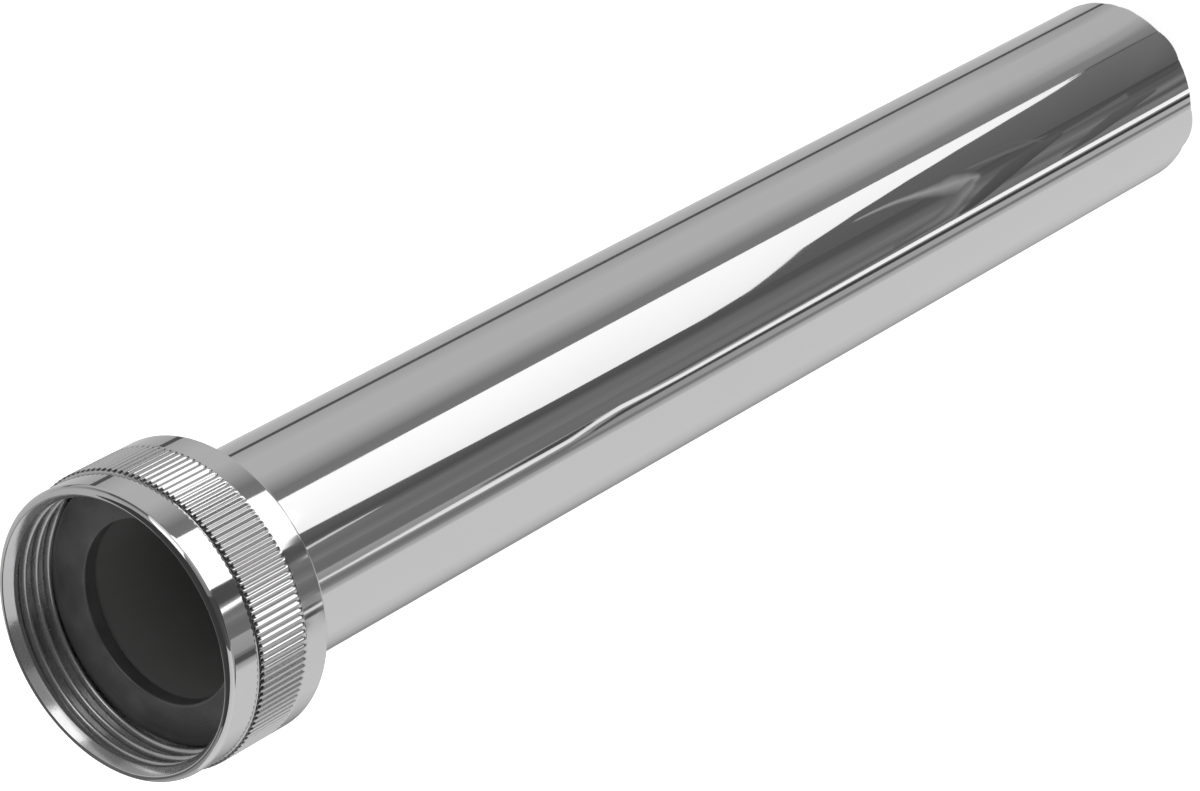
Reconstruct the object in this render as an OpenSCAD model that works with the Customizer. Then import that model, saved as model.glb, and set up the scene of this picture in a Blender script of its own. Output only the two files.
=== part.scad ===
/* [Pipe] */
// Outside diameter of the tube
pipe_od = 32; // [20:0.5:60]
// Wall of the tube
pipe_wall = 1; // [0.7:0.1:1.5]
// Length from the plain end to the face of the flange
pipe_len = 240; // [100:5:500]
// Radius of the bend under the flange
flare_r = 1.5; // [0.8:0.1:2.5]
// Width of the flat part of the flange, outside the bend
flange_land = 1.7; // [1:0.1:3]
// Bevel round the outside of the plain end
end_bevel = 0.3; // [0.1:0.05:0.5]

/* [Washer] */
// Thickness of the sealing washer
washer_thk = 2.5; // [1.5:0.25:4]
// How far the washer reaches inwards past the tube's bore
washer_lip = 1.5; // [0.5:0.25:3]
// How far the washer reaches outwards behind the crests of the thread
washer_catch = 0.325; // [0.1:0.025:0.8]
// Bevel along the edges of the washer
washer_edge = 0.4; // [0.1:0.05:0.6]

/* [Thread] */
// Radial room between the rim of the flange and the crests of the thread
crest_play = 0.275; // [0.1:0.025:0.8]
// Depth of the thread, half of 41.91 less 38.95 for G 1 1/4
thread_deep = 1.48; // [0.8:0.02:2]
// Length of the threaded bore
thread_len = 7.2; // [4:0.2:16]
// Depth of the bevel that leads into the thread
lead_in = 1.4; // [0.8:0.1:2]
// Gap between the last turn of the thread and the washer's face
catch_gap = 0.2; // [0.1:0.05:0.5]

/* [Union nut] */
// Wall of the front collar outside the roots of the thread
root_wall = 0.545; // [0.4:0.005:3]
// Height of the front collar, from the mouth to the step
collar_h = 5.5; // [3:0.25:8]
// Step from the front collar up to the knurled band
band_step = 0.5; // [0.4:0.05:1.2]
// Height of the smooth back collar
back_collar_h = 4.5; // [2:0.25:7]
// Radius of the rounded edge at the mouth
mouth_round = 1.2; // [0.6:0.1:1.6]
// Radius of the rounded edge at the back
back_round = 0.6; // [0.3:0.1:1.2]
// Radius of the cove between the front collar and the step
cove_r = 0.3; // [0.1:0.05:0.4]
// Thickness of the back wall, whose shoulder pulls the flange up
back_wall = 3.5; // [2.8:0.1:6]
// Free travel between the shoulder and the flange
shoulder_drop = 3.2; // [0.5:0.1:6]
// Radial room between the tube and the hole in the back wall
nut_play = 0.6; // [0.3:0.05:1.2]
// Radial room of the washer chamber outside the roots of the thread
chamber_play = 0.05; // [0.02:0.01:0.15]

/* [Knurl] */
// Number of straight teeth round the band
teeth = 132; // [96:4:160]
// Height of the groove floors above the front collar
floor_rise = 0.1; // [0.02:0.02:0.2]
// Share of the pitch that the flat crown of a tooth takes
crown_share = 0.24; // [0.15:0.01:0.35]
// Share of the pitch that the flat floor of a groove takes
floor_share = 0.12; // [0.05:0.01:0.2]
// Length over which the grooves run out towards the back
runout = 0.8; // [0.4:0.1:1.5]

/* [Hidden] */
// Facets of the round forms, which stay true circles in the exact model
$fn = 180;
// Steps in each rounded corner of a profile
corner_steps = 6;
// Overrun of the cutters past the faces that they cut
over = 0.5;

// Radii, from the tube outwards
pipe_r = pipe_od / 2;
bore_r = pipe_r - pipe_wall;
bend_r = pipe_r + flare_r;
flange_r = bend_r + flange_land;
crest_r = flange_r + crest_play;
root_r = crest_r + thread_deep;
chamber_r = root_r + chamber_play;
collar_r = root_r + root_wall;
band_r = collar_r + band_step;
floor_r = collar_r + floor_rise;
mouth_r = collar_r - mouth_round;
washer_r = crest_r + washer_catch;
washer_hole_r = bore_r - washer_lip;
nut_hole_r = pipe_r + nut_play;

// Heights, from the plain end upwards
flange_under = pipe_len - pipe_wall;
shoulder_z = flange_under - shoulder_drop;
nut_bottom = shoulder_z - back_wall;
washer_top = pipe_len + washer_thk;
thread_end = washer_top + catch_gap;
lead_z = thread_end + thread_len;
nut_top = lead_z + lead_in;
step_z = nut_top - collar_h;
knurl_bottom = nut_bottom + back_collar_h;

// Points of an arc from one angle to another, both ends included
function arc(centre, r, from, to) = [
    for (i = [0 : corner_steps])
    let (a = from + (to - from) * i / corner_steps)
    centre + r * [cos(a), sin(a)]
];

// Half of the tube's wall, with the flange turned out at its upper end
module pipe_profile() {
    bend = [bend_r, flange_under - flare_r];
    polygon(concat(
        [[bore_r, 0], [pipe_r - end_bevel, 0], [pipe_r, end_bevel]],
        arc(bend, flare_r, 180, 90),
        [[flange_r, flange_under], [flange_r, pipe_len]],
        arc(bend, flare_r + pipe_wall, 90, 180)
    ));
}

// Half of the flat washer, with its four edges bevelled
module washer_profile() {
    polygon([
        [washer_hole_r, pipe_len + washer_edge],
        [washer_hole_r + washer_edge, pipe_len],
        [washer_r - washer_edge, pipe_len],
        [washer_r, pipe_len + washer_edge],
        [washer_r, washer_top - washer_edge],
        [washer_r - washer_edge, washer_top],
        [washer_hole_r + washer_edge, washer_top],
        [washer_hole_r, washer_top - washer_edge]
    ]);
}

// Half of the nut: hole, shoulder, washer chamber, thread bore, rounded mouth, collar and band
module nut_profile() {
    polygon(concat(
        [
            [nut_hole_r, nut_bottom],
            [nut_hole_r, shoulder_z - flare_r],
            [nut_hole_r + flare_r, shoulder_z],
            [chamber_r, shoulder_z],
            [chamber_r, thread_end],
            [crest_r, thread_end],
            [crest_r, lead_z],
            [mouth_r, nut_top]
        ],
        arc([mouth_r, nut_top - mouth_round], mouth_round, 90, 0),
        arc([collar_r + cove_r, step_z + cove_r], cove_r, 180, 270),
        [[band_r, step_z], [band_r, nut_bottom + back_round]],
        arc([band_r - back_round, nut_bottom + back_round], back_round, 0, -90)
    ));
}

// Outline of the knurl: flat groove floors, and teeth whose flanks meet above the band's surface
module tooth_outline() {
    pitch = 360 / teeth;
    foot_share = 1 - floor_share;
    apex_r = floor_r + (band_r - floor_r) * foot_share / (foot_share - crown_share);
    polygon([
        for (i = [0 : teeth - 1], side = [-1, 0, 1])
        let (a = (i + side * foot_share / 2) * pitch)
        (side == 0 ? apex_r : floor_r) * [cos(a), sin(a)]
    ]);
}

// Everything between the teeth, from above the step down to the run-out of the grooves
module groove_cutter() {
    difference() {
        translate([0, 0, knurl_bottom])
        linear_extrude(step_z - knurl_bottom + over)
        difference() {
            circle(band_r + over);
            tooth_outline();
        }
        rotate_extrude()
        polygon([
            [nut_hole_r, knurl_bottom - over],
            [band_r, knurl_bottom - over],
            [band_r, knurl_bottom],
            [floor_r, knurl_bottom + runout],
            [nut_hole_r, knurl_bottom + runout]
        ]);
    }
}

module tail_pipe() {
    color([0.80, 0.81, 0.82])
    rotate_extrude()
    pipe_profile();
}

module sealing_washer() {
    color([0.22, 0.22, 0.22])
    rotate_extrude()
    washer_profile();
}

module union_nut() {
    color([0.74, 0.75, 0.77])
    difference() {
        rotate_extrude()
        nut_profile();
        groove_cutter();
    }
}

tail_pipe();
sealing_washer();
union_nut();
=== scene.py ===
"""Dresses the basin waste tail pipe: chromed tube, rubber washer and chromed union nut in a white studio."""
import logging
import math
from dataclasses import dataclass
from enum import Enum
from typing import Any, Iterable

import bmesh
import bpy
from bmesh.types import BMesh, BMFace, BMVert
from bpy.types import Material, Object
from mathutils import Matrix, Vector


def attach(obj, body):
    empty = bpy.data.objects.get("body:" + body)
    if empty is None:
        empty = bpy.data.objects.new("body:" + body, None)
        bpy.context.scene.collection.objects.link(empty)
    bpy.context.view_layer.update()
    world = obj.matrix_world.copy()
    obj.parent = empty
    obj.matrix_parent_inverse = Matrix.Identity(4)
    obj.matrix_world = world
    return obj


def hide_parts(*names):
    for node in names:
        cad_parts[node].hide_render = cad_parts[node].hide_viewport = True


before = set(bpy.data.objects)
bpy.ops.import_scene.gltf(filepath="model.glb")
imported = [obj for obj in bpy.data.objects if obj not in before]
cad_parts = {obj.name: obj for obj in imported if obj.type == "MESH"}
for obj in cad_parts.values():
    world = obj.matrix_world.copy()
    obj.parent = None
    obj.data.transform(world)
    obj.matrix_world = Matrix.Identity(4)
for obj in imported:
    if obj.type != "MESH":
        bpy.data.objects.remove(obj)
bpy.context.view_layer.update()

Pair = tuple[float, float]
Colour = tuple[float, float, float]

MM = 0.001
UP = Vector((0.0, 0.0, 1.0))
WHITE = (1.0, 1.0, 1.0, 1.0)
WELD = 1e-7  # points closer than this many metres are one
ROOM = 1.6  # metres from the part to the standing cards
CEILING = 2.0  # metres from the table to the ceiling
STRIP_HEIGHTS = (3.0, 50.0, 110.0, 170.0, 236.0)  # millimetres up the tube
log = logging.getLogger("tail_pipe")


class Slot(Enum):
    """The record's material slots."""

    TUBE = "chromed_tube"
    RUBBER = "washer_rubber"
    NUT = "chromed_nut"


class Skin(Enum):
    """The place of a finish among a piece's materials."""

    OUTSIDE = 0
    INSIDE = 1
    LIP = 2


# ---- shader sums ----

class Sum:
    """A number socket of a material that takes part in Python sums."""

    def __init__(self, recipe: "Recipe", socket: Any) -> None:
        """Keeps the recipe that owns the socket, and the socket."""
        self.recipe = recipe
        self.socket = socket

    def _math(self, operation: str, *terms: Any, clamp: bool = False) -> "Sum":
        """Adds one Math node; clamp holds its result between 0 and 1."""
        settings = {"operation": operation, "use_clamp": clamp}
        return self.recipe.add("ShaderNodeMath", settings, dict(enumerate(terms)))

    def __add__(self, other: Any) -> "Sum":
        """Self plus other."""
        return self._math("ADD", self, other)

    def __radd__(self, other: Any) -> "Sum":
        """Other plus self."""
        return self._math("ADD", other, self)

    def __sub__(self, other: Any) -> "Sum":
        """Self less other."""
        return self._math("SUBTRACT", self, other)

    def __rsub__(self, other: Any) -> "Sum":
        """Other less self."""
        return self._math("SUBTRACT", other, self)

    def __mul__(self, other: Any) -> "Sum":
        """Self times other."""
        return self._math("MULTIPLY", self, other)

    def __rmul__(self, other: Any) -> "Sum":
        """Other times self."""
        return self._math("MULTIPLY", other, self)

    def __truediv__(self, other: Any) -> "Sum":
        """Self over other."""
        return self._math("DIVIDE", self, other)

    def __rtruediv__(self, other: Any) -> "Sum":
        """Other over self."""
        return self._math("DIVIDE", other, self)

    def __pow__(self, other: Any) -> "Sum":
        """Self to the power of other."""
        return self._math("POWER", self, other)

    def __rpow__(self, other: Any) -> "Sum":
        """Other to the power of self."""
        return self._math("POWER", other, self)

    def __abs__(self) -> "Sum":
        """Self without its sign."""
        return self._math("ABSOLUTE", self)

    def held(self) -> "Sum":
        """Self held between 0 and 1."""
        return self._math("ADD", self, 0.0, clamp=True)

    def sine(self) -> "Sum":
        """The sine of self, in radians."""
        return self._math("SINE", self)


@dataclass(frozen=True)
class Pattern:
    """A noise: its features per metre, its finer layers, and its scale along x, y and z."""

    scale: float
    detail: float
    stretch: tuple[float, float, float] = (1.0, 1.0, 1.0)


class Recipe:
    """The node tree of one material or of the world."""

    def __init__(self, tree: bpy.types.NodeTree) -> None:
        """Starts from an empty tree."""
        self.tree = tree
        self.tree.nodes.clear()

    def add(
        self, kind: str, settings: dict | None = None, inputs: dict | None = None, output: Any = 0
    ) -> Sum:
        """Adds a node of any kind.

        Args:
            kind: the node's type.
            settings: its properties, set first; "stops" are a ramp's (place, grey) pairs.
            inputs: values or links by socket name or number.
            output: the name or number of the socket that is returned.
        Returns:
            The chosen output.
        """
        node = self.tree.nodes.new(kind)
        for key, value in (settings or {}).items():
            if key == "stops":
                self._stops(node.color_ramp, value)
            else:
                setattr(node, key, value)
        for key, value in (inputs or {}).items():
            socket = node.inputs[key]
            if isinstance(value, Sum):
                self.tree.links.new(value.socket, socket)
            else:
                socket.default_value = value
        return Sum(self, node.outputs[output] if len(node.outputs) else None)

    @staticmethod
    def _stops(ramp: bpy.types.ColorRamp, stops: tuple[tuple[float, float], ...]) -> None:
        """Sets the stops of a ramp.

        Args:
            ramp: the ramp.
            stops: its (place, grey) pairs.
        """
        while len(ramp.elements) > 1:
            ramp.elements.remove(ramp.elements[-1])
        for index, (place, grey) in enumerate(stops):
            stop = ramp.elements[0] if index == 0 else ramp.elements.new(place)
            stop.position = place
            stop.color = (grey, grey, grey, 1.0)

    def place(self) -> tuple[Sum, Sum, Sum, Sum]:
        """Reads the object coordinates.

        Returns:
            The coordinates as one vector, then x, y and z in metres.
        """
        spot = self.add("ShaderNodeTexCoord", output="Object")
        apart = self.add("ShaderNodeSeparateXYZ", None, {0: spot}).socket.node.outputs
        return spot, Sum(self, apart[0]), Sum(self, apart[1]), Sum(self, apart[2])

    def noise(self, spot: Sum, pattern: Pattern) -> Sum:
        """Adds a noise, a number between 0 and 1.

        Args:
            spot: the coordinates.
            pattern: its scale, detail and stretch.
        Returns:
            The noise.
        """
        place = {"Vector": spot, "Scale": pattern.stretch}
        mapped = self.add("ShaderNodeMapping", {"vector_type": "POINT"}, place)
        sockets = {"Vector": mapped, "Scale": pattern.scale, "Detail": pattern.detail}
        return self.add("ShaderNodeTexNoise", None, sockets)

    def stretched(self, value: Sum, low: float, high: float) -> Sum:
        """Spreads a number so that low becomes 0 and high becomes 1."""
        return self.add("ShaderNodeValToRGB", {"stops": ((low, 0.0), (high, 1.0))}, {0: value})

    def blend(self, share: Any, first: Any, second: Any) -> Sum:
        """Mixes two colours, each three numbers or a link, with this share of the second."""
        low, high = (c if isinstance(c, Sum) else (*c, 1.0) for c in (first, second))
        return self.add("ShaderNodeMix", {"data_type": "RGBA"}, {0: share, 6: low, 7: high}, output=2)

    def bump(self, height: Sum, depth: float, strength: float) -> Sum:
        """Turns a height of 0 to 1 into a normal; the relief's depth is in metres."""
        return self.add("ShaderNodeBump", None, {"Strength": strength, "Distance": depth, "Height": height})

    def seen(self) -> Sum:
        """Marks what the camera, glossy rays and transmission rays see.

        Returns:
            1 to those rays and 0 to the others.
        """
        path = self.add("ShaderNodeLightPath").socket.node.outputs
        looked_at = Sum(self, path["Is Camera Ray"]) + Sum(self, path["Is Glossy Ray"])
        return (looked_at + Sum(self, path["Is Transmission Ray"])).held()

    def surface(self, shader: Sum) -> None:
        """Ends the recipe in a shader, for the world or for a material."""
        target = "World" if isinstance(self.tree.id_data, bpy.types.World) else "Material"
        self.add("ShaderNodeOutput" + target, None, {"Surface": shader})

    def principled(self, sockets: dict) -> None:
        """Ends the recipe in a Principled shader with these sockets."""
        self.surface(self.add("ShaderNodeBsdfPrincipled", None, sockets))


# ---- finishes ----

@dataclass(frozen=True)
class Finish:
    """A finish that mixes its own material."""

    name: str

    def mix(self, recipe: Recipe) -> None:
        """Fills the material's recipe."""
        raise NotImplementedError

    def material(self) -> Material:
        """Makes the material.

        Returns:
            The material.
        """
        material = bpy.data.materials.new(self.name)
        material.use_nodes = True
        self.mix(Recipe(material.node_tree))
        return material


@dataclass(frozen=True)
class KnurlWearAndShade:
    """Where the knurled band is duller, and where its groove floors are painted darker as shade, most at the
    teeth's front ends; lengths are in millimetres.
    """

    floor: float
    crown: float
    low: float
    high: float
    fade: float = 0.10
    crown_margin: float = 0.04
    floor_margin: float = 0.06
    floor_fade: float = 0.02
    notch_drop: float = 0.36
    notch_half: float = 0.40
    notch_share: float = 0.9
    band_share: float = 0.06
    extra_rough: float = 0.12
    # the next two: the roughness and the colour of the painted shade in the groove floors
    painted_shade_rough: float = 0.2
    painted_shade_tone: Colour = (0.03, 0.03, 0.03)

    def masks(self, radius: Sum, height: Sum) -> tuple[Sum, Sum]:
        """Works out the two masks.

        Args:
            radius: the distance from the axis, in metres.
            height: the height, in metres.
        Returns:
            The share of the duller band, and the share of dirt.
        """
        middle = (self.low + self.high) / 2
        half = (self.high - self.low) / 2
        band = ((half * MM - abs(height - middle * MM)) / (self.fade * MM)).held()
        outside = ((radius - (self.floor - self.floor_margin) * MM) / (self.floor_fade * MM)).held()
        deep = ((self.crown - self.crown_margin - radius / MM) / self.fade).held()
        notch = ((self.notch_half - abs(height / MM - self.high + self.notch_drop)) / self.fade).held()
        # painted shade: darkens the groove floors in the band, most at the teeth's front ends, where shadow
        # falls
        painted_shade = (deep * outside * (notch * self.notch_share + band * self.band_share)).held()
        return band * outside, painted_shade


@dataclass(frozen=True)
class BrightChrome(Finish):
    """Polished chrome plate with faint smudges, a drawn tube's long ripple and painted shade in its grooves.
    """

    clean: Colour = (0.90, 0.90, 0.90)
    dulled: Colour = (0.85, 0.85, 0.85)
    rough: float = 0.035
    smudge: float = 0.05
    smudge_share: float = 0.35
    speck_share: float = 0.25
    ripple: float = 0.02
    ripple_depth: float = 0.0004
    knurl: KnurlWearAndShade | None = None
    smudges: Pattern = Pattern(45.0, 5.0, (1.0, 1.0, 0.35))
    specks: Pattern = Pattern(900.0, 2.0)
    ripples: Pattern = Pattern(30.0, 1.0, (1.0, 1.0, 0.12))

    def mix(self, recipe: Recipe) -> None:
        """Mixes the chrome.

        Args:
            recipe: the material's recipe.
        """
        spot, x, y, z = recipe.place()
        smudges = recipe.stretched(recipe.noise(spot, self.smudges), 0.45, 0.75)
        specks = recipe.stretched(recipe.noise(spot, self.specks), 0.70, 0.78)
        share = (smudges * self.smudge_share + specks * self.speck_share).held()
        rough = self.rough + smudges * self.smudge
        colour = recipe.blend(share, self.clean, self.dulled)
        if self.knurl:
            # painted shade: the knurl's groove floors are darkened and roughened by the next lines
            band, painted_shade = self.knurl.masks((x * x + y * y) ** 0.5, z)
            rough = rough + band * self.knurl.extra_rough + painted_shade * self.knurl.painted_shade_rough
            colour = recipe.blend(painted_shade, colour, self.knurl.painted_shade_tone)
        ripple = recipe.noise(spot, self.ripples)
        recipe.principled(
            {
                "Base Color": colour,
                "Metallic": 1.0,
                "Roughness": rough,
                "Normal": recipe.bump(ripple, self.ripple_depth, self.ripple),
            }
        )


@dataclass(frozen=True)
class BareBore(Finish):
    """The dull, stained inside of the tube."""

    base: Colour = (0.25, 0.25, 0.248)
    stained: Colour = (0.20, 0.20, 0.198)
    metallic: float = 0.2
    rough: float = 0.55
    streak_rough: float = 0.2
    grain_depth: float = 0.00005
    grain_strength: float = 0.3
    streaks: Pattern = Pattern(120.0, 4.0, (1.0, 1.0, 0.15))
    grain: Pattern = Pattern(2500.0, 2.0)

    def mix(self, recipe: Recipe) -> None:
        """Mixes the dull bore.

        Args:
            recipe: the material's recipe.
        """
        spot, _x, _y, _z = recipe.place()
        streaks = recipe.noise(spot, self.streaks)
        grain = recipe.noise(spot, self.grain)
        recipe.principled(
            {
                "Base Color": recipe.blend(streaks, self.base, self.stained),
                "Metallic": self.metallic,
                "Roughness": self.rough + streaks * self.streak_rough,
                "Normal": recipe.bump(grain, self.grain_depth, self.grain_strength),
            }
        )


@dataclass(frozen=True)
class DullPlate(Finish):
    """The thin, dull plating inside the nut, where the polishing wheel doesn't reach."""

    clean: Colour = (0.78, 0.78, 0.78)
    dulled: Colour = (0.58, 0.58, 0.58)
    metallic: float = 0.88
    rough: float = 0.20
    stain_rough: float = 0.12
    grain_depth: float = 0.00003
    grain_strength: float = 0.2
    stains: Pattern = Pattern(260.0, 4.0)
    grain: Pattern = Pattern(2200.0, 2.0)

    def mix(self, recipe: Recipe) -> None:
        """Mixes the dull plate.

        Args:
            recipe: the material's recipe.
        """
        spot, _x, _y, _z = recipe.place()
        stains = recipe.noise(spot, self.stains)
        grain = recipe.noise(spot, self.grain)
        recipe.principled(
            {
                "Base Color": recipe.blend(stains, self.clean, self.dulled),
                "Metallic": self.metallic,
                "Roughness": self.rough + stains * self.stain_rough,
                "Normal": recipe.bump(grain, self.grain_depth, self.grain_strength),
            }
        )


@dataclass(frozen=True)
class BlackRubber(Finish):
    """Moulded grey-black rubber with turned rings, a fine grain and pale dust."""

    base: Colour = (0.052, 0.052, 0.053)
    dusty: Colour = (0.100, 0.099, 0.097)
    shine: float = 0.9
    rough: float = 0.30
    dust_rough: float = 0.14
    dust_share: float = 0.7
    grain_share: float = 0.2
    ring_pitch: float = 0.45
    ring_relief: float = 0.3
    grain_relief: float = 0.7
    relief_depth: float = 0.00008
    relief_strength: float = 0.35
    grain: Pattern = Pattern(1800.0, 3.0)
    dust: Pattern = Pattern(160.0, 4.0)

    def mix(self, recipe: Recipe) -> None:
        """Mixes the rubber.

        Args:
            recipe: the material's recipe.
        """
        spot, x, y, _z = recipe.place()
        radius = (x * x + y * y) ** 0.5
        rings = (radius * (2 * math.pi / (self.ring_pitch * MM))).sine() * 0.5 + 0.5
        grain = recipe.noise(spot, self.grain)
        dust = recipe.stretched(recipe.noise(spot, self.dust), 0.42, 0.72)
        share = (dust * self.dust_share + grain * self.grain_share).held()
        relief = rings * self.ring_relief + grain * self.grain_relief
        recipe.principled(
            {
                "Base Color": recipe.blend(share, self.base, self.dusty),
                "Roughness": self.rough + dust * self.dust_rough,
                "Specular IOR Level": self.shine,
                "Normal": recipe.bump(relief, self.relief_depth, self.relief_strength),
            }
        )


@dataclass(frozen=True)
class WhiteTable(Finish):
    """The pale table: white to the camera and in the chrome, with the object's soft shadow left on it."""

    tone: float = 0.82
    darker: float = 0.02
    glow: float = 0.62
    mottle: Pattern = Pattern(3.0, 2.0)

    def mix(self, recipe: Recipe) -> None:
        """Mixes the table's surface.

        Args:
            recipe: the material's recipe.
        """
        seen = recipe.seen()
        spot, _x, _y, _z = recipe.place()
        mottle = recipe.noise(spot, self.mottle)
        colour = recipe.blend(mottle, (self.tone,) * 3, (self.tone - self.darker,) * 3)
        plain = recipe.add("ShaderNodeBsdfDiffuse", None, {"Color": colour})
        light = {"Color": WHITE, "Strength": seen * self.glow}
        glow = recipe.add("ShaderNodeEmission", None, light)
        recipe.surface(recipe.add("ShaderNodeAddShader", None, {0: plain, 1: glow}))


@dataclass(frozen=True)
class GreyCard(Finish):
    """A reflector card whose grey runs evenly across it and along it."""

    near: Pair
    far: Pair

    def mix(self, recipe: Recipe) -> None:
        """Mixes the card's glow.

        Args:
            recipe: the material's recipe.
        """
        spot = recipe.add("ShaderNodeUVMap", {"uv_map": "card"})
        apart = recipe.add("ShaderNodeSeparateXYZ", None, {0: spot}).socket.node.outputs
        across, along = Sum(recipe, apart[0]), Sum(recipe, apart[1])
        close = recipe.blend(across, (self.near[0],) * 3, (self.near[1],) * 3)
        away = recipe.blend(across, (self.far[0],) * 3, (self.far[1],) * 3)
        tone = recipe.blend(along.held(), close, away)
        recipe.surface(recipe.add("ShaderNodeEmission", None, {"Color": tone, "Strength": 1.0}))


# ---- turned shapes ----

def spin(mesh: BMesh, turn: float, steps: int, rise: float = 0.0, merge: bool = False) -> None:
    """Spins all of a mesh round the part's axis.

    Args:
        mesh: the mesh.
        turn: the whole angle, in radians.
        steps: the number of steps.
        rise: the climb of each step, in metres.
        merge: whether the last step closes on the first.
    """
    bmesh.ops.spin(
        mesh,
        geom=mesh.verts[:] + mesh.edges[:] + mesh.faces[:],
        cent=(0.0, 0.0, 0.0),
        axis=UP,
        dvec=(0.0, 0.0, rise),
        angle=turn,
        steps=steps,
        use_merge=merge,
        use_duplicate=False,
    )


def round_off(mesh: BMesh, point: BMVert, setback: float, segments: int) -> None:
    """Rounds one point of a flat outline.

    Args:
        mesh: the outline's mesh.
        point: the point.
        setback: how far the rounding sets back, in millimetres.
        segments: the number of its facets.
    """
    bmesh.ops.bevel(
        mesh,
        geom=[point],
        offset=setback * MM,
        offset_type="OFFSET",
        segments=segments,
        profile=0.5,
        affect="VERTICES",
        material=-1,
    )


def placed(name: str, mesh: BMesh) -> Object:
    """Turns a finished mesh into an object of the scene.

    Args:
        name: the object's name.
        mesh: the mesh, in metres.
    Returns:
        The object.
    """
    data = bpy.data.meshes.new(name)
    mesh.to_mesh(data)
    mesh.free()
    thing = bpy.data.objects.new(name, data)
    bpy.context.scene.collection.objects.link(thing)
    return thing


def middles(mesh: BMesh) -> Iterable[tuple[BMFace, float, float]]:
    """Walks the faces with the place of their middles.

    Args:
        mesh: the mesh.
    Yields:
        Each face, its distance from the axis and its height, in millimetres.
    """
    for face in mesh.faces:
        spot = face.calc_center_median() / MM
        yield face, math.hypot(spot.x, spot.y), spot.z


@dataclass(frozen=True)
class Corner:
    """A corner of a turned outline: distance from the axis, height, and how far its rounding sets back."""

    radius: float
    height: float
    setback: float = 0.0
    segments: int = 5


@dataclass(frozen=True)
class Turning:
    """An outline in millimetres that is turned round the part's axis."""

    corners: tuple[Corner, ...]
    steps: int
    cuts: tuple[float, ...] = ()

    def spun(self) -> BMesh:
        """Draws the outline, rounds its corners, adds a support loop at each cut's height and spins it.

        Returns:
            The closed turned mesh, in metres.
        """
        mesh = bmesh.new()
        points = [mesh.verts.new((c.radius * MM, 0.0, c.height * MM)) for c in self.corners]
        mesh.faces.new(points)
        for corner in self.corners:
            if corner.setback:
                self._round(mesh, corner)
        for height in self.cuts:
            everything = mesh.verts[:] + mesh.edges[:] + mesh.faces[:]
            bmesh.ops.bisect_plane(mesh, geom=everything, dist=WELD, plane_co=UP * height * MM, plane_no=UP)
        inside = [e for e in mesh.edges if len(e.link_faces) > 1]
        bmesh.ops.delete(mesh, geom=mesh.faces[:], context="FACES_ONLY")
        if inside:
            bmesh.ops.delete(mesh, geom=inside, context="EDGES")
        spin(mesh, 2 * math.pi, self.steps, merge=True)
        bmesh.ops.remove_doubles(mesh, verts=mesh.verts[:], dist=WELD)
        bmesh.ops.recalc_face_normals(mesh, faces=mesh.faces[:])
        return mesh

    @staticmethod
    def _round(mesh: BMesh, corner: Corner) -> None:
        """Rounds one corner of the outline.

        Args:
            mesh: the outline's mesh.
            corner: the corner that is rounded.
        """
        spot = Vector((corner.radius * MM, 0.0, corner.height * MM))
        nearest = min(mesh.verts, key=lambda v: (v.co - spot).length)
        round_off(mesh, nearest, corner.setback, corner.segments)


@dataclass
class Piece:
    """A finished mesh with the CAD body it rides on, the node it stands for and its finishes."""

    name: str
    body: str
    node: str
    slot: Slot

    def finish(self, mesh: BMesh, finishes: dict[Skin, Finish]) -> Object:
        """Makes the object, shades it smooth and ties it to the frame.

        Args:
            mesh: the finished mesh, in metres.
            finishes: its finishes in the order of Skin.
        Returns:
            The object.
        """
        for face in mesh.faces:
            face.smooth = True
        thing = placed(self.name, mesh)
        for finish in finishes.values():
            thing.data.materials.append(finish.material())
        thing.modifiers.new("even_shade", "WEIGHTED_NORMAL")
        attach(thing, self.body)
        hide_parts(self.node)
        log.info("%s: %d faces on body %s", self.name, len(thing.data.polygons), self.body)
        return thing


# ---- the three parts ----

@dataclass
class TailPipe:
    """The chromed tube with its flange, open at both ends."""

    outer: float = 16.0
    bore: float = 15.0
    length: float = 240.0
    wall: float = 1.0
    bend: float = 1.5
    flange: float = 19.2
    bore_round: float = 0.2
    edge_round: float = 0.3
    skin: float = 0.02
    loops: tuple[float, ...] = (0.8, 80.0, 160.0)
    last_loop: float = 0.6
    steps: int = 360

    def build(self) -> Object:
        """Turns the tube and dresses it.

        Returns:
            The tube's object.
        """
        under = self.length - self.wall
        corners = (
            Corner(self.bore, 0.0, self.bore_round, 3),
            Corner(self.outer, 0.0, self.edge_round, 4),
            Corner(self.outer, under, self.bend, 10),
            Corner(self.flange, under, self.edge_round, 4),
            Corner(self.flange, self.length, self.edge_round, 4),
            Corner(self.bore, self.length, self.bend + self.wall, 10),
        )
        cuts = (*self.loops, under - self.bend - self.last_loop)
        mesh = Turning(corners, self.steps, cuts).spun()
        for face, radius, height in middles(mesh):
            outwards = math.hypot(self.outer + self.bend - radius, min(under - self.bend - height, 0.0))
            in_bend = radius < self.outer + self.bend and outwards > self.bend + self.wall / 2
            if radius < self.bore + self.skin or in_bend:
                face.material_index = Skin.INSIDE.value
        finishes = {Skin.OUTSIDE: BrightChrome("tube_chrome", rough=0.04), Skin.INSIDE: BareBore("bare_bore")}
        return Piece("chromed_tail_tube", "pipe", "tail_pipe", Slot.TUBE).finish(mesh, finishes)


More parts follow.
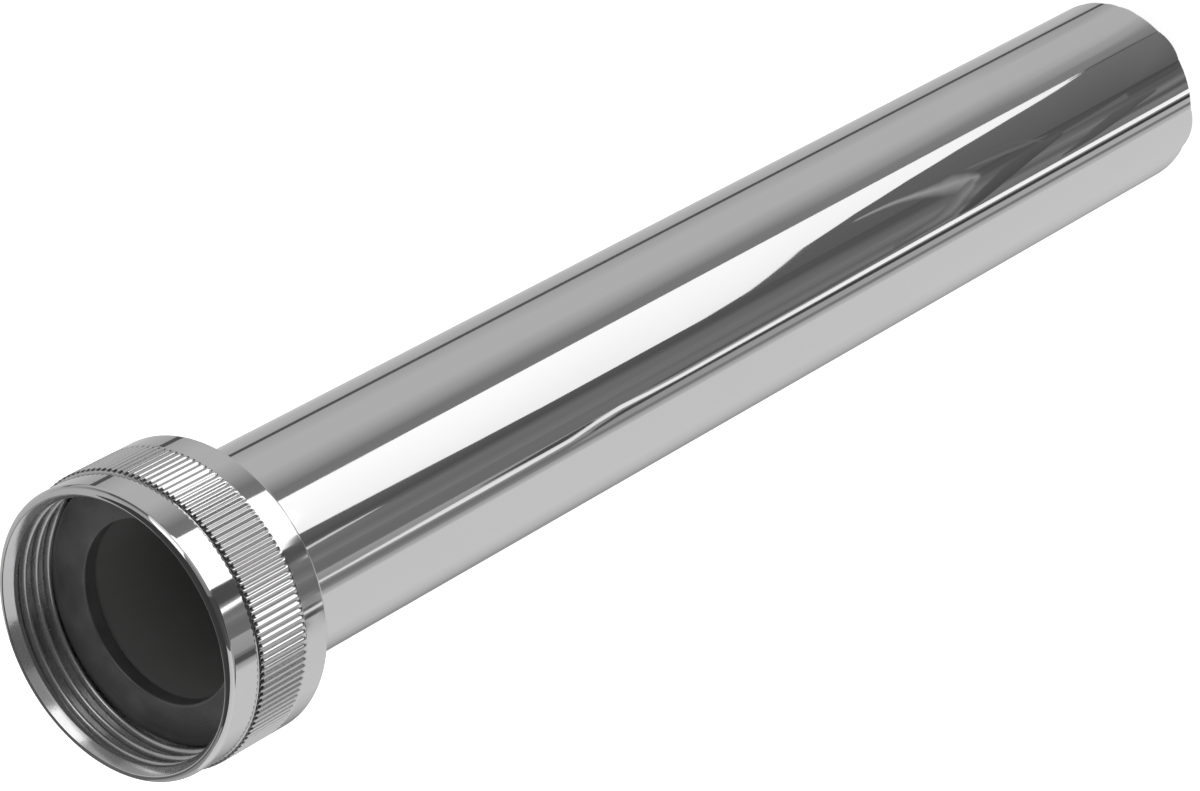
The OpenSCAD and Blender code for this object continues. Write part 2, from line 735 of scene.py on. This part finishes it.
@dataclass
class SealingWasher:
    """The flat rubber washer that lies on the flange."""

    hole: float = 13.5
    rim: float = 19.8
    under: float = 240.0
    top: float = 242.5
    edge: float = 0.4
    steps: int = 256

    def build(self) -> Object:
        """Turns the washer and dresses it.

        Returns:
            The washer's object.
        """
        corners = (
            Corner(self.hole, self.under, self.edge),
            Corner(self.rim, self.under, self.edge),
            Corner(self.rim, self.top, self.edge),
            Corner(self.hole, self.top, self.edge),
        )
        mesh = Turning(corners, self.steps).spun()
        finishes = {Skin.OUTSIDE: BlackRubber("washer_rubber")}
        return Piece("rubber_sealing_washer", "pipe", "sealing_washer", Slot.RUBBER).finish(mesh, finishes)


@dataclass
class UnionNut:
    """The knurled union nut, with its thread as a helical ridge in the bore."""

    hole: float = 16.6
    chamber: float = 21.005
    root: float = 20.955
    crest: float = 19.475
    mouth: float = 20.3
    collar: float = 21.5
    band: float = 22.0
    groove: float = 21.7
    bottom: float = 232.3
    shoulder: float = 235.8
    thread_end: float = 242.7
    lead: float = 249.9
    top: float = 251.3
    step: float = 245.8
    knurl_bottom: float = 236.8
    runout: float = 0.45
    hole_round: float = 0.25
    hole_bevel: float = 1.5
    chamber_round: float = 0.3
    root_bevel: float = 0.1
    flank_deg: float = 27.5
    flank_round: float = 0.15
    lip_length: float = 0.7
    lip_play: float = 0.01
    lip_round: float = 0.12
    lead_round: float = 0.1
    mouth_round: float = 1.08
    cove: float = 0.08
    step_round: float = 0.18
    back_round: float = 0.6
    loop_below_step: float = 0.5
    loop_below_knurl: float = 0.1
    lead_skin: float = 0.1
    mouth_skin: float = 0.02
    root_skin: float = 0.2
    shoulder_skin: float = 0.5
    teeth: int = 132
    tooth_steps: int = 6
    runout_loops: int = 5
    crown_share: float = 1 / 6
    floor_share: float = 1 / 6
    knurl_reach: float = 0.02
    pitch: float = 2.309
    turns: float = 3.02
    start_deg: float = -10.0
    ridge_share: float = 0.455
    ridge_drop: float = 0.4
    ridge_sunk: float = 0.12
    ridge_over: float = 0.5
    ridge_round: float = 0.9
    ridge_facets: int = 10
    ridge_steps: int = 256
    ridge_fade: float = 0.14

    def build(self) -> Object:
        """Turns the nut, cuts its knurl, lays in the thread and dresses it.

        Returns:
            The nut's object.
        """
        mesh = self._body().spun()
        self._knurl(mesh)
        self._thread(mesh)
        lowest = self.shoulder - self.shoulder_skin
        for face, radius, height in middles(mesh):
            if height > self.lead - self.lead_skin and radius < self.mouth - self.mouth_skin:
                face.material_index = Skin.LIP.value
            elif radius < self.root + self.root_skin and lowest < height < self.lead:
                face.material_index = Skin.INSIDE.value
        chrome = BrightChrome(
            "nut_chrome",
            rough=0.045,
            clean=(0.89, 0.89, 0.89),
            dulled=(0.80, 0.80, 0.80),
            knurl=KnurlWearAndShade(self.groove, self.band, self.knurl_bottom, self.step),
        )
        lip = DullPlate("lip_plate", clean=(0.84, 0.84, 0.84), dulled=(0.72, 0.72, 0.72), rough=0.10)
        finishes = {Skin.OUTSIDE: chrome, Skin.INSIDE: DullPlate("thread_plate"), Skin.LIP: lip}
        return Piece("knurled_union_nut", "nut", "union_nut", Slot.NUT).finish(mesh, finishes)

    def _body(self) -> Turning:
        """The nut's outline without teeth and thread.

        Returns:
            The turning.
        """
        flank = (self.root - self.crest) * math.tan(math.radians(self.flank_deg))
        lip = self.lead - self.lip_length
        lip_radius = self.crest + self.lip_play
        corners = (
            Corner(self.hole, self.bottom, self.hole_round, 3),
            Corner(self.hole, self.shoulder - self.hole_bevel),
            Corner(self.hole + self.hole_bevel, self.shoulder),
            Corner(self.chamber, self.shoulder, self.chamber_round, 3),
            Corner(self.chamber, self.thread_end),
            Corner(self.root, self.thread_end + self.root_bevel),
            Corner(self.root, lip - flank, self.flank_round, 3),
            Corner(lip_radius, lip, self.flank_round, 3),
            Corner(lip_radius, self.lead, self.lip_round, 3),
            Corner(self.mouth, self.top, self.lead_round, 3),
            Corner(self.collar, self.top, self.mouth_round, 10),
            Corner(self.collar, self.step, self.cove, 2),
            Corner(self.band, self.step, self.step_round, 3),
            Corner(self.band, self.bottom, self.back_round, 7),
        )
        cuts = [self.knurl_bottom + self.runout * k / self.runout_loops for k in range(self.runout_loops + 1)]
        cuts += [self.step - self.loop_below_step, self.knurl_bottom - self.loop_below_knurl]
        return Turning(corners, self.teeth * self.tooth_steps, tuple(cuts))

    def _knurl(self, mesh: BMesh) -> None:
        """Presses the grooves between the teeth into the band.

        Args:
            mesh: the spun nut.
        """
        foot = 1 - self.floor_share
        for vert in mesh.verts:
            radius = math.hypot(vert.co.x, vert.co.y) / MM
            height = vert.co.z / MM
            if radius <= self.groove or not self.knurl_bottom <= height <= self.step + self.knurl_reach:
                continue
            phase = math.degrees(math.atan2(vert.co.y, vert.co.x)) * self.teeth / 360 + 0.5 / self.tooth_steps
            off = abs(phase - round(phase)) * 2
            up = min(max((foot - off) / (foot - self.crown_share), 0.0), 1.0)
            fade = min(max((height - self.knurl_bottom) / self.runout, 0.0), 1.0)
            limit = self.band - (self.band - self.groove) * (1 - up) * fade
            if radius > limit:
                vert.co.xy *= limit / radius

    def _thread(self, mesh: BMesh) -> None:
        """Winds the right-hand thread down the bore from the lip at the mouth, and lets its end run out.

        Args:
            mesh: the spun nut, which takes the ridge in.
        """
        ridge = bmesh.new()
        half = self.pitch * self.ridge_share
        middle = self.lead - self.ridge_drop
        back = self.root + self.ridge_sunk
        outline = ((back, middle + half), (self.crest - self.ridge_over, middle), (back, middle - half))
        turn = Matrix.Rotation(math.radians(self.start_deg), 3, "Z")
        points = [ridge.verts.new(turn @ Vector((r * MM, 0.0, z * MM))) for r, z in outline]
        ridge.faces.new(points)
        round_off(ridge, points[1], self.ridge_round, self.ridge_facets)
        steps = self.ridge_steps
        count = round(self.turns * steps)
        spin(ridge, -2 * math.pi * count / steps, count, rise=-self.pitch * MM / steps)
        for vert in ridge.verts:
            self._fade(vert, middle)
        bmesh.ops.recalc_face_normals(ridge, faces=ridge.faces[:])
        data = bpy.data.meshes.new("ridge")
        ridge.to_mesh(data)
        ridge.free()
        mesh.from_mesh(data)
        bpy.data.meshes.remove(data)

    def _fade(self, vert: BMVert, middle: float) -> None:
        """Sinks a point of the ridge into the wall near the ridge's ends.

        Args:
            vert: the point.
            middle: the height of the ridge's middle at its start.
        """
        radius = math.hypot(vert.co.x, vert.co.y) / MM
        part = (self.start_deg - math.degrees(math.atan2(vert.co.y, vert.co.x))) / 360 % 1
        wound = part + round((middle - vert.co.z / MM) / self.pitch - part)
        left = min(max((self.turns - wound) / self.ridge_fade, 0.0), 1.0)
        share = left * left * (3 - 2 * left)
        back = self.root + self.ridge_sunk
        limit = back - (back - self.crest) * share
        if radius < limit:
            vert.co.xy *= limit / radius


# ---- studio ----

@dataclass
class Viewpoint:
    """The photo's viewpoint: a long lens 45 degrees above the table, rolled so that the tube lies across."""

    lens_mm: float = 142.087
    sensor_mm: float = 36.0
    aim: tuple = (-0.0032, 0.0, 0.14755)
    distance: float = 0.70834
    elevation_deg: float = 45.355
    roll_deg: float = -118.823

    def ahead(self) -> Vector:
        """The direction in which the camera looks."""
        tilt = math.radians(self.elevation_deg)
        return Vector((0.0, math.cos(tilt), -math.sin(tilt)))

    def place(self) -> Vector:
        """The camera's place."""
        return Vector(self.aim) - self.ahead() * self.distance

    def build(self) -> Object:
        """Makes the scene's camera.

        Returns:
            The camera.
        """
        data = bpy.data.cameras.new("photo_camera")
        data.lens = self.lens_mm
        data.sensor_width = self.sensor_mm
        camera = bpy.data.objects.new("photo_camera", data)
        bpy.context.scene.collection.objects.link(camera)
        level = Vector((1.0, 0.0, 0.0))
        rise = level.cross(self.ahead())
        roll = math.radians(self.roll_deg)
        right = level * math.cos(roll) + rise * math.sin(roll)
        up = rise * math.cos(roll) - level * math.sin(roll)
        turn = Matrix((right, up, -self.ahead())).transposed().to_4x4()
        camera.matrix_world = Matrix.Translation(self.place()) @ turn
        bpy.context.scene.camera = camera
        return camera


@dataclass(frozen=True)
class Card:
    """A reflector card on the table, laid out by where the tube shows it.

    Each station is a height on the tube in millimetres and the card's first and last facing angle there, in
    degrees: -180 is the side edge to the left of the viewpoint, -90 faces it and 0 is the right edge. Near and
    far are its greys at the first and last station, each at the first and last angle. An endless card goes on
    to the foot of the walls.
    """

    name: str
    near: Pair
    far: Pair
    stations: tuple[tuple[float, float, float], ...]
    layer: int = 0
    endless: bool = False


@dataclass(frozen=True)
class Wall:
    """A standing card between two bearings from the part, in degrees; heights and distance are in metres."""

    name: str
    start: float
    end: float
    foot: Pair
    head: Pair
    low: float = 0.0
    high: float = 0.72

    def upper(self, grey: float) -> "Wall":
        """The plain grey card on top of this one."""
        even = (grey, grey)
        return Wall(self.name + "_upper", self.start, self.end, even, even, self.high, CEILING)


def strip(name: str, start: float, end: float, near: float | Pair, far: float | Pair) -> Card:
    """Describes a card that keeps its angles along the whole tube.

    Args:
        name: the card's name.
        start: its first facing angle.
        end: its last facing angle.
        near: its grey by the tube's foot, one number or (first, last).
        far: its grey far out, in the same way.
    Returns:
        The card.
    """
    close, away = (grey if isinstance(grey, tuple) else (grey, grey) for grey in (near, far))
    return Card(name, close, away, tuple((height, start, end) for height in STRIP_HEIGHTS), endless=True)


def in_chrome_only(name: str, mesh: BMesh, finish: GreyCard) -> Object:
    """Makes a card that only the chrome shows.

    Args:
        name: the card's name.
        mesh: its mesh, in metres.
        finish: its grey.
    Returns:
        The card's object.
    """
    thing = placed(name, mesh)
    thing.data.materials.append(finish.material())
    for unseen in ("visible_camera", "visible_diffuse", "visible_shadow", "visible_transmission"):
        setattr(thing, unseen, False)
    return thing


@dataclass
class CardTable:
    """The cards that stand and lie round the part, seen only in its chrome."""

    eye: Vector
    radius: float = 16.0
    lowest: float = 0.4
    layer_gap: float = 0.3

    def landing(self, height: float, facing: float, lift: float) -> Vector:
        """Follows a sight line that the tube mirrors down to the table.

        Args:
            height: where it meets the tube, in millimetres.
            facing: the angle that the tube's surface faces there, in degrees.
            lift: the height of the card above the table, in metres.
        Returns:
            The point on the card, in metres.
        """
        turn = math.radians(facing)
        normal = Vector((math.cos(turn), math.sin(turn), 0.0))
        spot = normal * self.radius * MM + Vector((0.0, 0.0, height * MM))
        sight = (spot - self.eye).normalized()
        bounced = sight - normal * (2 * sight.dot(normal))
        return spot + bounced * ((lift - spot.z) / bounced.z)

    def lay(self, card: Card) -> Object:
        """Lays one card on the table.

        Args:
            card: the card.
        Returns:
            Its object.
        """
        lift = (self.lowest + self.layer_gap * card.layer) * MM
        rows = [(self.landing(h, a, lift), self.landing(h, b, lift)) for h, a, b in card.stations]
        if card.endless:
            rows.append(tuple(self._far_end(p, p - q) for p, q in zip(rows[-1], rows[-2])))
        return self._hang(card.name, rows, len(card.stations) - 1, GreyCard(card.name, card.near, card.far))

    def stand(self, wall: Wall) -> Object:
        """Stands one card up at the edge of the table.

        Args:
            wall: the card.
        Returns:
            Its object.
        """
        turns = [math.radians(bearing) for bearing in (wall.start, wall.end)]
        rows = [
            tuple(Vector((math.cos(turn) * ROOM, math.sin(turn) * ROOM, height)) for turn in turns)
            for height in (wall.low, wall.high)
        ]
        return self._hang(wall.name, rows, 1, GreyCard(wall.name, wall.foot, wall.head))

    def _hang(self, name: str, rows: list, last: int, finish: GreyCard) -> Object:
        """Grows a card's mesh edge by edge and makes the card.

        Args:
            name: the card's name.
            rows: pairs of points, each the two sides of the card.
            last: the row at which the grey along the card ends.
            finish: the card's grey.
        Returns:
            The card's object.
        """
        mesh = bmesh.new()
        uv = mesh.loops.layers.uv.new("card")
        ends = [mesh.verts.new(p) for p in rows[0]]
        edge = mesh.edges.new(ends)
        place = {ends[0]: (0.0, 0.0), ends[1]: (1.0, 0.0)}
        for index, row in enumerate(rows[1:], 1):
            grown = bmesh.ops.extrude_edge_only(mesh, edges=[edge])["geom"]
            fresh = [g for g in grown if isinstance(g, BMVert)]
            ends = [min(fresh, key=lambda v: (v.co - old.co).length) for old in ends]
            for side, vert in enumerate(ends):
                vert.co = row[side]
                place[vert] = (float(side), min(index / last, 1.0))
            edge = mesh.edges.get(ends)
        for face in mesh.faces:
            for loop in face.loops:
                loop[uv].uv = place[loop.vert]
        return in_chrome_only(name, mesh, finish)

    def _far_end(self, spot: Vector, along: Vector) -> Vector:
        """Carries a card's edge on to the foot of the walls.

        Args:
            spot: the edge's last point.
            along: the edge's direction.
        Returns:
            The far point.
        """
        way = Vector((along.x, along.y, 0.0)).normalized()
        here = spot.dot(way)
        level = spot.x**2 + spot.y**2
        return spot + way * (-here + math.sqrt(max(here * here - level + ROOM**2, 0.0)))


@dataclass
class Studio:
    """The white table, the even sky, one soft lamp and the cards."""

    viewpoint: Viewpoint
    sky: float = 0.78
    table_half: float = 6.0
    ceiling_span: float = 3.4
    lamp_watts: float = 5.0
    lamp_size: float = 1.0
    lamp_place: tuple = (-0.4, 0.5, 1.5)
    lamp_aim: tuple = (0.0, 0.0, 0.2)

    def build(self) -> None:
        """Makes the table, the sky, the lamp and the cards."""
        self._floor()
        self._world()
        self._lamp()
        table = CardTable(self.viewpoint.place())
        for card in self._cards() + self._lines():
            table.lay(card)
        for wall, above in self._walls():
            table.stand(wall)
            table.stand(wall.upper(above))
        self._ceiling()
        bpy.context.scene.view_settings.view_transform = "Standard"

    def _floor(self) -> None:
        """Lays the white table."""
        mesh = bmesh.new()
        bmesh.ops.create_grid(mesh, x_segments=2, y_segments=2, size=self.table_half)
        table = placed("white_table", mesh)
        table.data.materials.append(WhiteTable("white_table").material())

    def _world(self) -> None:
        """Makes the even sky, which is white to the camera and in the chrome."""
        world = bpy.data.worlds.new("white_sky")
        bpy.context.scene.world = world
        world.use_nodes = True
        recipe = Recipe(world.node_tree)
        strength = recipe.seen() * (1.0 - self.sky) + self.sky
        recipe.surface(recipe.add("ShaderNodeBackground", None, {"Color": WHITE, "Strength": strength}))

    def _lamp(self) -> None:
        """Hangs one large soft lamp over the table."""
        data = bpy.data.lights.new("soft_box", "AREA")
        data.shape = "SQUARE"
        data.size = self.lamp_size
        data.energy = self.lamp_watts
        lamp = bpy.data.objects.new("soft_box", data)
        bpy.context.scene.collection.objects.link(lamp)
        lamp.location = self.lamp_place
        lamp.visible_glossy = False
        lamp.rotation_euler = (Vector(self.lamp_aim) - lamp.location).to_track_quat("-Z", "Y").to_euler()

    def _ceiling(self) -> None:
        """Hangs a grey card over everything, seen only in the chrome."""
        mesh = bmesh.new()
        uv = mesh.loops.layers.uv.new("card")
        bmesh.ops.create_grid(mesh, x_segments=1, y_segments=1, size=self.ceiling_span / 2)
        bmesh.ops.translate(mesh, verts=mesh.verts[:], vec=(0.0, 0.0, CEILING))
        for face in mesh.faces:
            for loop in face.loops:
                spot = loop.vert.co / self.ceiling_span
                loop[uv].uv = (spot.x + 0.5, spot.y + 0.5)
        in_chrome_only("grey_ceiling", mesh, GreyCard("grey_ceiling", (0.035, 0.035), (0.05, 0.05)))

    @staticmethod
    def _walls() -> tuple[tuple[Wall, float], ...]:
        """The standing cards, by bearing from the part.

        Returns:
            The walls, each with the grey of the card above it.
        """
        return (
            (Wall("wall_left", 135.0, 225.0, (0.66, 0.62), (0.58, 0.50), high=1.45), 0.04),
            (Wall("wall_front_left", 225.0, 262.0, (0.10, 0.05), (0.10, 0.06)), 0.06),
            (Wall("wall_front", 262.0, 295.0, (0.14, 0.40), (0.20, 0.50)), 0.22),
            (Wall("wall_bright", 295.0, 328.0, (0.62, 0.72), (0.74, 0.72)), 1.35),
            (Wall("wall_right_dark", 328.0, 360.0, (0.10, 0.07), (0.15, 0.12)), 0.36),
            (Wall("wall_right", 0.0, 45.0, (0.10, 0.45), (0.25, 0.40)), 0.42),
            (Wall("wall_back", 45.0, 85.0, (0.45, 0.45), (0.46, 0.44)), 0.42),
            (Wall("wall_back_dark", 85.0, 112.0, (0.05, 0.08), (0.10, 0.15)), 0.12),
            (Wall("wall_back_left", 112.0, 135.0, (0.30, 0.45), (0.30, 0.40)), 0.25),
        )

    @staticmethod
    def _cards() -> tuple[Card, ...]:
        """The broad cards from the tube's left edge round to its right edge.

        Returns:
            The cards.
        """
        return (
            strip("left_edge_grey", -180.0, -172.5, 0.36, 0.36),
            strip("left_thin_dark", -172.5, -166.5, 0.42, 0.27),
            strip("left_half_grey", -166.5, -160.0, (0.46, 0.52), (0.33, 0.44)),
            strip("left_pale", -160.0, -150.0, (0.52, 0.59), (0.46, 0.58)),
            strip("left_wide_pale", -150.0, -123.6, 0.595, 0.585),
            strip("front_left_fall", -123.6, -120.9, (0.54, 0.42), (0.50, 0.30)),
            strip("front_left_dark_line", -120.9, -119.1, (0.17, 0.20), (0.22, 0.20)),
            strip("front_left_strip", -119.1, -116.2, (0.46, 0.44), (0.24, 0.24)),
            strip("front_left_grey", -116.2, -111.5, (0.28, 0.22), (0.24, 0.36)),
            strip("front_grey", -111.5, -107.6, (0.16, 0.21), (0.155, 0.15)),
            strip("front_dip", -107.6, -105.4, (0.19, 0.09), (0.15, 0.18)),
            strip("front_streak", -105.4, -102.0, (0.09, 0.21), (0.22, 0.15)),
            strip("front_second_dip", -102.0, -98.5, (0.19, 0.10), (0.145, 0.18)),
            strip("front_fall", -98.5, -95.4, (0.12, 0.085), (0.17, 0.08)),
            strip("front_dark", -95.4, -92.4, (0.10, 0.07), (0.08, 0.11)),
            strip("white_panel", -92.4, -70.8, (0.92, 0.97), (0.95, 1.12)),
            strip("right_dark", -70.8, -66.0, (0.20, 0.24), (0.19, 0.18)),
            strip("right_rise", -66.0, -60.0, (0.24, 0.37), (0.18, 0.35)),
            strip("right_half_grey", -60.0, -54.0, (0.37, 0.46), (0.35, 0.45)),
            strip("right_grey", -54.0, -41.0, 0.46, 0.46),
            strip("right_soft_grey", -41.0, -30.6, (0.46, 0.36), (0.46, 0.38)),
            strip("right_dark_line", -30.6, -27.8, 0.085, 0.085),
            strip("right_pale", -27.8, -14.0, (0.40, 0.50), (0.38, 0.50)),
            strip("right_edge_pale", -14.0, 0.0, (0.50, 0.62), (0.52, 0.66)),
        )

    @staticmethod
    def _lines() -> tuple[Card, ...]:
        """The narrow cards that lie over the broad ones: fine lines, the dark wedge and its swirl.

        Returns:
            The cards.
        """
        return (
            Card("dark_wedge", (0.11, 0.17), (0.11, 0.10), layer=1, stations=(
                (3, -92.4, -70.6), (22, -92.4, -70.7), (27, -92.4, -71.6), (36, -92.4, -73.6),
                (50, -92.4, -75.2), (65, -92.4, -76.8), (80, -92.4, -78.8), (95, -92.4, -81.2),
                (110, -92.4, -84.4), (125, -92.4, -91.0), (136, -92.4, -92.3),
            )),
            Card("tip_line", (0.07, 0.09), (0.09, 0.10), layer=2, stations=(
                (3, -70.9, -70.6), (14, -71.0, -70.2), (24, -71.2, -70.4), (31, -71.9, -71.5),
            )),
            Card("bright_line", (1.10, 0.95), (0.80, 0.75), layer=2, endless=True, stations=(
                (3, -113.4, -110.9), (50, -113.5, -111.2), (85, -113.6, -111.5),
                (100, -113.8, -111.8), (115, -114.1, -112.2), (130, -114.3, -112.5),
                (145, -114.5, -112.8), (153, -114.2, -112.5), (160, -113.6, -111.4),
                (166, -114.3, -112.5), (172, -116.1, -114.2), (190, -116.4, -114.2),
                (205, -116.4, -114.6), (220, -116.4, -115.2), (236, -116.4, -115.3),
            )),
            Card("dark_line_outside", (0.045, 0.045), (0.07, 0.07), layer=2, stations=(
                (3, -116.2, -114.3), (100, -116.2, -114.4), (130, -116.1, -114.6),
                (146, -116.2, -114.8), (160, -116.4, -114.6), (167, -117.6, -116.4),
            )),
            Card("dark_line_beyond", (0.16, 0.18), (0.17, 0.19), layer=2, endless=True, stations=(
                (166, -117.8, -116.6), (174, -119.2, -117.2), (205, -119.4, -117.2),
                (236, -119.4, -117.4),
            )),
            Card("dark_line_inside", (0.11, 0.12), (0.09, 0.10), layer=1, stations=(
                (80, -109.6, -108.9), (100, -110.7, -109.4), (115, -111.4, -109.9),
                (130, -111.6, -110.0), (145, -111.8, -110.4), (153, -111.4, -110.8),
            )),
            Card("dark_line_step", (0.06, 0.06), (0.06, 0.09), layer=1, stations=(
                (166, -112.4, -111.6), (172, -113.8, -111.9), (178, -114.0, -112.1),
                (184, -113.7, -112.6), (192, -113.4, -113.0),
            )),
            Card("far_panel_edge", (0.12, 0.12), (0.10, 0.11), layer=1, stations=(
                (176, -92.5, -92.3), (190, -92.5, -91.8), (205, -92.5, -91.0),
                (220, -92.5, -90.3), (236, -92.5, -89.8),
            )),
            Card("swirl_rise", (0.12, 0.30), (0.10, 0.38), layer=2, stations=(
                (64, -97.5, -96.0), (67, -100.0, -94.2), (70, -100.8, -93.0),
                (74, -97.0, -91.6), (78, -92.8, -89.5), (82, -89.8, -87.6), (86, -87.7, -86.1),
                (90, -86.5, -85.3), (96, -85.4, -84.8),
            )),
            Card("swirl_fall", (0.30, 0.10), (0.38, 0.10), layer=2, stations=(
                (64, -96.0, -94.0), (67, -94.2, -90.0), (70, -93.0, -87.2), (74, -91.6, -87.6),
                (78, -89.5, -87.0), (82, -87.6, -86.0), (86, -86.1, -84.8), (90, -85.3, -84.3),
                (96, -84.8, -84.2),
            )),
            Card("hook_rise", (0.10, 0.26), (0.10, 0.15), layer=3, stations=(
                (66, -101.0, -98.5), (70, -105.5, -102.0), (74, -109.3, -106.3),
                (78, -109.6, -107.6), (84, -109.4, -107.8), (90, -109.2, -108.4),
            )),
            Card("hook_fall", (0.26, 0.15), (0.15, 0.10), layer=3, stations=(
                (66, -98.5, -95.0), (70, -102.0, -97.5), (74, -106.3, -101.2),
                (78, -107.6, -104.4), (84, -107.8, -105.6), (90, -108.4, -107.4),
            )),
            Card("swirl_tail", (0.12, 0.14), (0.17, 0.16), layer=3, stations=(
                (44, -94.6, -94.0), (50, -93.8, -92.2), (55, -92.6, -90.8), (60, -91.2, -89.6),
                (66, -89.6, -88.8),
            )),
            Card("swirl_outline", (0.12, 0.11), (0.13, 0.12), layer=3, stations=(
                (52, -87.6, -86.6), (60, -86.4, -85.2), (70, -84.6, -83.6), (80, -83.4, -82.8),
            )),
            Card("far_white_line", (0.55, 0.55), (0.70, 0.70), layer=2, stations=(
                (212, -97.6, -97.2), (222, -98.1, -97.0), (232.4, -98.8, -97.7),
            )),
            Card("collar_white_line", (1.50, 1.50), (1.60, 1.60), layer=2, stations=(
                (246.6, -100.2, -99.0), (252, -101.4, -99.9), (262, -103.4, -101.4),
            )),
            Card("collar_grey", (0.27, 0.20), (0.27, 0.20), layer=3, stations=(
                (233.2, -114.0, -109.8), (238.8, -114.2, -110.0),
            )),
            Card("collar_pale", (0.56, 0.52), (0.56, 0.52), layer=3, stations=(
                (233.2, -126.0, -117.6), (238.8, -126.0, -117.8),
            )),
            Card("collar_upper_line", (0.07, 0.07), (0.07, 0.07), layer=4, stations=(
                (233.2, -115.3, -114.2), (238.8, -115.5, -114.4),
            )),
            Card("collar_lower_line", (0.06, 0.06), (0.06, 0.06), layer=4, stations=(
                (233.2, -118.3, -116.7), (238.8, -118.5, -116.9),
            )),
            Card("far_white", (1.45, 1.45), (1.45, 1.45), layer=2, endless=True, stations=(
                (238, -92.3, -70.9), (250, -92.3, -70.9), (262, -92.3, -70.9),
            )),
            Card("far_dark", (0.09, 0.09), (0.06, 0.06), layer=1, endless=True, stations=(
                (236, -97.4, -92.4), (252, -98.6, -92.6), (262, -99.6, -92.8),
            )),
            Card("far_grey_strip", (0.30, 0.34), (0.30, 0.36), layer=3, endless=True, stations=(
                (240, -117.2, -112.6), (252, -117.6, -112.4), (262, -118.0, -112.4),
            )),
            Card("far_dark_line", (0.09, 0.09), (0.07, 0.07), layer=3, endless=True, stations=(
                (240, -120.8, -118.6), (252, -121.2, -118.8), (262, -121.6, -119.0),
            )),
            Card("back_gap", (0.12, 0.12), (0.14, 0.14), endless=True, stations=(
                (24, -180.0, 0.0), (110, -180.0, 0.0), (236, -180.0, 0.0),
            )),
            Card("low_patch", (0.075, 0.110), (0.062, 0.085), layer=2, stations=(
                (40, -98.0, -96.0), (50, -102.4, -96.0), (58, -106.0, -98.6),
                (64, -109.0, -102.6), (68, -110.4, -106.0), (72, -110.6, -109.4),
            )),
            Card("foot_patch", (0.085, 0.115), (0.085, 0.110), layer=2, stations=(
                (12, -102.2, -101.2), (18, -104.2, -100.6), (26, -107.4, -101.2),
                (32, -109.0, -103.8), (38, -109.6, -107.4), (42, -109.7, -109.0),
            )),
            Card("wedge_ridge", (0.15, 0.13), (0.12, 0.12), layer=1, stations=(
                (20, -97.6, -94.6), (45, -98.0, -97.0), (54, -88.0, -86.4), (70, -83.4, -81.6),
            )),
        )


def main() -> None:
    """Builds the camera, the studio and the three parts in order."""
    logging.basicConfig(level=logging.INFO, format="%(message)s")
    viewpoint = Viewpoint()
    viewpoint.build()
    Studio(viewpoint).build()
    for part in (TailPipe(), SealingWasher(), UnionNut()):
        part.build()


if __name__ == "__main__":
    main()
